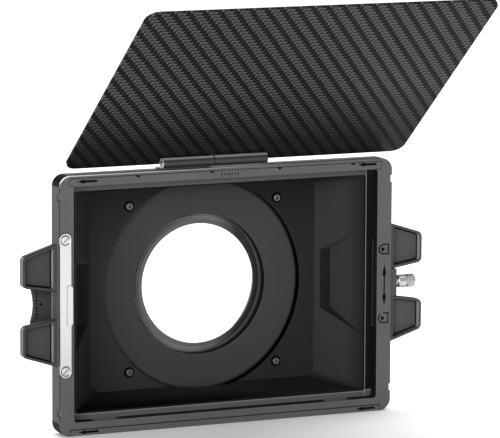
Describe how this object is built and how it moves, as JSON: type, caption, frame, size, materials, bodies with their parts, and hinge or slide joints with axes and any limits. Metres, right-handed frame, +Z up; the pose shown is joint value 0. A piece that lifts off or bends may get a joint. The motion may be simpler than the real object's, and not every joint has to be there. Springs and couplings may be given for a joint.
{
  "type": "clip-on matte box lens hood",
  "caption": "Rectangular lens shade with a filter frame, a tapered black hood, a hinged carbon-fibre top flag and a rotating screw-on lens adapter.",
  "frame": {"origin": "on the optical axis, at the shoulder of the lens thread", "axes": "+Y backwards along the optical axis towards the camera, +X right as seen from the front, +Z up"},
  "size_m": [0.19, 0.1338, 0.1909],
  "materials": {
    "moulded": "fine-textured black glass-filled nylon",
    "disc_black": "matt black anodised",
    "anodised": "satin dark grey anodised",
    "bright_steel": "bright nickel-plated",
    "black_steel": "black oxide",
    "brass": "turned",
    "carbon": "twill-weave carbon fibre under matt clear coat",
    "felt": "black felt"
  },
  "bodies": {
    "front_stage": {"front_frame": "moulded", "top_rail": "moulded", "bottom_rail": "moulded", "retainer_plate": "bright_steel", "retainer_screws": "bright_steel", "keeper_right": "moulded", "keeper_left_upper": "moulded", "keeper_left_lower": "moulded", "keeper_screws": "black_steel", "screw_insert": "brass", "hinge_leaf_fixed": "anodised", "hinge_leaf_screws": "black_steel", "hinge_pin": "bright_steel"},
    "flag": {"flag_panel": "carbon", "hinge_leaf_moving": "anodised", "flag_screws": "black_steel", "friction_bush": "brass"},
    "clamp_bar": {"clamp_bar": "moulded"},
    "thumb_screw": {"thumb_screw": "bright_steel"},
    "shade": {"shade_housing": "moulded", "release_tab": "moulded", "release_tab_screws": "black_steel", "ring_carrier": "moulded", "ring_screws": "black_steel", "carrier_screws": "black_steel", "rear_retainer": "moulded", "friction_ring": "felt"},
    "adapter_ring": {"adapter_disc": "disc_black", "adapter_set_screws": "black_steel", "lens_adapter": "anodised"}
  },
  "joints": [
    {"name": "flag_hinge", "type": "hinge", "parent": "front_stage", "child": "flag", "pos_m": [0, -0.043, 0.05925], "axis": [-1, 0, 0], "range_deg": [-128.7, 10]},
    {"name": "stage_lock_slide", "type": "slide", "parent": "front_stage", "child": "shade", "axis": [0, 0, 1], "range_m": [0, 0.003]},
    {"name": "adapter_turn", "type": "hinge", "parent": "shade", "child": "adapter_ring", "pos_m": [0, 0, 0], "axis": [0, 1, 0], "continuous": true},
    {"name": "clamp_bar_slide", "type": "slide", "parent": "front_stage", "child": "clamp_bar", "axis": [-1, 0, 0], "range_m": [0, 0.001]},
    {"name": "thumb_screw_turn", "type": "hinge", "parent": "clamp_bar", "child": "thumb_screw", "pos_m": [0.08, -0.0384, 0], "axis": [-1, 0, 0], "range_deg": [0, 514.3]}
  ],
  "couplings": [
    {"joint": "thumb_screw_turn", "follows": "clamp_bar_slide", "rad_per_m": 8976}
  ]
}
